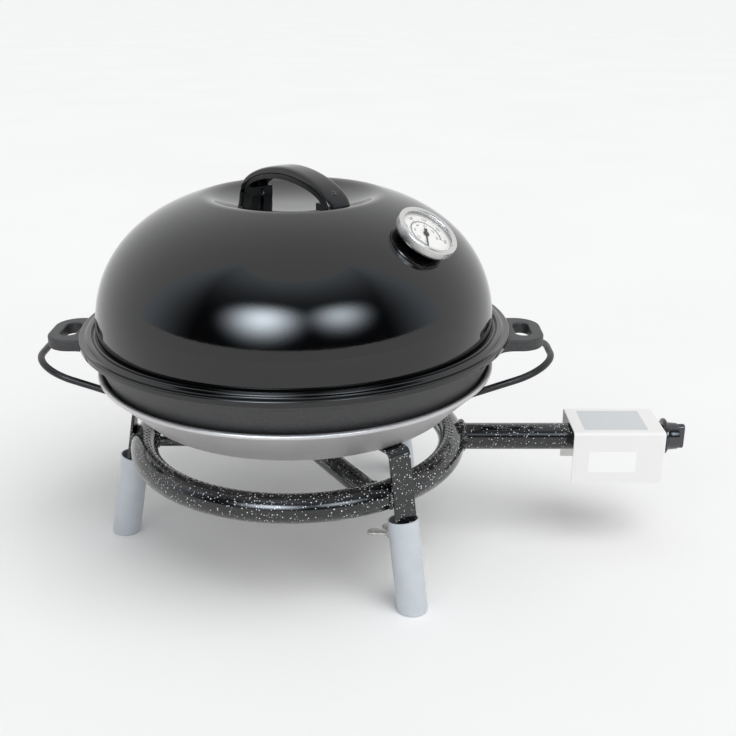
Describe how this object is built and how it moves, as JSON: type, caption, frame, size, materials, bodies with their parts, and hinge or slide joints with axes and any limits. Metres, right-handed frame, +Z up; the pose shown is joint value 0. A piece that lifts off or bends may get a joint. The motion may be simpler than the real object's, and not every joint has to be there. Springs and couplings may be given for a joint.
{
  "type": "paella burner",
  "caption": "Ring gas burner on clamped tube legs with a side tap, carrying a hammered paella pan, a ridged cast grill pan and a domed lid with a thermometer.",
  "frame": {"origin": "on the floor, under the middle of the outline", "axes": "+X from the ring along the arm to the knob, +Z up, the thermometer towards -Y"},
  "size_m": [0.6698, 0.43, 0.3987],
  "materials": {
    "speckled_enamel": "glossy vitreous enamel with fine pale specks",
    "leg_silver": "silver-grey paint",
    "leg_plastic": "moulded",
    "zinc": "zinc plated",
    "cover_white": "smooth white paint",
    "brass": "turned",
    "knob_black": "moulded, glossy",
    "knob_silver": "bright strip",
    "pan_steel": "satin, hammered base",
    "rivet_steel": "polished heads",
    "wire_black": "satin black coating",
    "cast_iron": "fine grain, matt",
    "lid_enamel": "glossy vitreous enamel",
    "handle_black": "smooth",
    "frame_black": "satin black paint",
    "screw_dark": "dark plated",
    "gasket_rubber": "matt",
    "gauge_steel": "spun",
    "dial_white": "printed face",
    "gauge_glass": "clear",
    "needle_black": "matt black"
  },
  "bodies": {
    "burner": {"ring_tube": "speckled_enamel", "spoke_left": "speckled_enamel", "spoke_front": "speckled_enamel", "spoke_rear": "speckled_enamel", "arm_tube": "speckled_enamel", "arm_weld": "speckled_enamel", "bracket_left": "speckled_enamel", "bracket_front": "speckled_enamel", "bracket_rear": "speckled_enamel", "control_cover": "cover_white", "tap_strap": "zinc", "tap_body": "brass", "tap_nut": "zinc", "injector": "brass", "inlet_nipple": "brass"},
    "leg_left": {"leg_left": "leg_silver", "foot_plug_left": "leg_plastic", "leg_nut_left": "zinc"},
    "wing_screw_left": {"wing_screw_left": "zinc"},
    "leg_front": {"leg_front": "leg_silver", "foot_plug_front": "leg_plastic", "leg_nut_front": "zinc"},
    "wing_screw_front": {"wing_screw_front": "zinc"},
    "leg_rear": {"leg_rear": "leg_silver", "foot_plug_rear": "leg_plastic", "leg_nut_rear": "zinc"},
    "wing_screw_rear": {"wing_screw_rear": "zinc"},
    "tap_push": {"push_collar": "zinc"},
    "knob": {"tap_spindle": "brass", "control_knob": "knob_black", "knob_cap": "knob_silver"},
    "pan": {"paella_pan": "pan_steel", "pan_handle_left": "wire_black", "pan_handle_right": "wire_black", "pan_rivets": "rivet_steel"},
    "grill": {"grill_pan": "cast_iron"},
    "lid": {"lid_dome": "lid_enamel", "handle_bracket": "frame_black", "handle_grip": "handle_black", "handle_screws": "screw_dark", "gauge_gasket": "gasket_rubber", "gauge_case": "gauge_steel", "gauge_dial": "dial_white", "gauge_bezel": "gauge_steel", "gauge_glass": "gauge_glass", "gauge_probe": "gauge_steel", "gauge_nut": "zinc"},
    "needle": {"gauge_needle": "needle_black"}
  },
  "joints": [
    {"name": "leg_slide_left", "type": "slide", "parent": "burner", "child": "leg_left", "axis": [-0.1736, 0, -0.9848], "range_m": [0, 0.08]},
    {"name": "wing_turn_left", "type": "hinge", "parent": "leg_left", "child": "wing_screw_left", "pos_m": [-0.24154, 0, 0.06967], "axis": [0.9848, 0, -0.1736], "range_deg": [0, 630]},
    {"name": "leg_slide_front", "type": "slide", "parent": "burner", "child": "leg_front", "axis": [0.1045, -0.1387, -0.9848], "range_m": [0, 0.08]},
    {"name": "wing_turn_front", "type": "hinge", "parent": "leg_front", "child": "wing_screw_front", "pos_m": [0.02859, -0.13468, 0.06967], "axis": [-0.5927, 0.7865, -0.1736], "range_deg": [0, 630]},
    {"name": "leg_slide_rear", "type": "slide", "parent": "burner", "child": "leg_rear", "axis": [0.1045, 0.1387, -0.9848], "range_m": [0, 0.08]},
    {"name": "wing_turn_rear", "type": "hinge", "parent": "leg_rear", "child": "wing_screw_rear", "pos_m": [0.02859, 0.13468, 0.06967], "axis": [-0.5927, -0.7865, -0.1736], "range_deg": [0, 630]},
    {"name": "knob_push", "type": "slide", "parent": "burner", "child": "tap_push", "axis": [-1, 0, 0], "range_m": [0, 0.003], "stiffness_N_per_m": 600},
    {"name": "knob_turn", "type": "hinge", "parent": "tap_push", "child": "knob", "pos_m": [0.3171, 0, 0.113], "axis": [1, 0, 0], "range_deg": [0, 180]},
    {"name": "pan_lift", "type": "slide", "parent": "burner", "child": "pan", "axis": [0, 0, 1], "range_m": [0, 0.05]},
    {"name": "grill_lift", "type": "slide", "parent": "pan", "child": "grill", "axis": [0, 0, 1], "range_m": [0, 0.06]},
    {"name": "lid_lift", "type": "slide", "parent": "grill", "child": "lid", "axis": [0, 0, 1], "range_m": [0, 0.17]},
    {"name": "needle_turn", "type": "hinge", "parent": "lid", "child": "needle", "pos_m": [0.04833, -0.08489, 0.34566], "axis": [-0.48, 0.3361, -0.8103], "range_deg": [0, 270]}
  ]
}
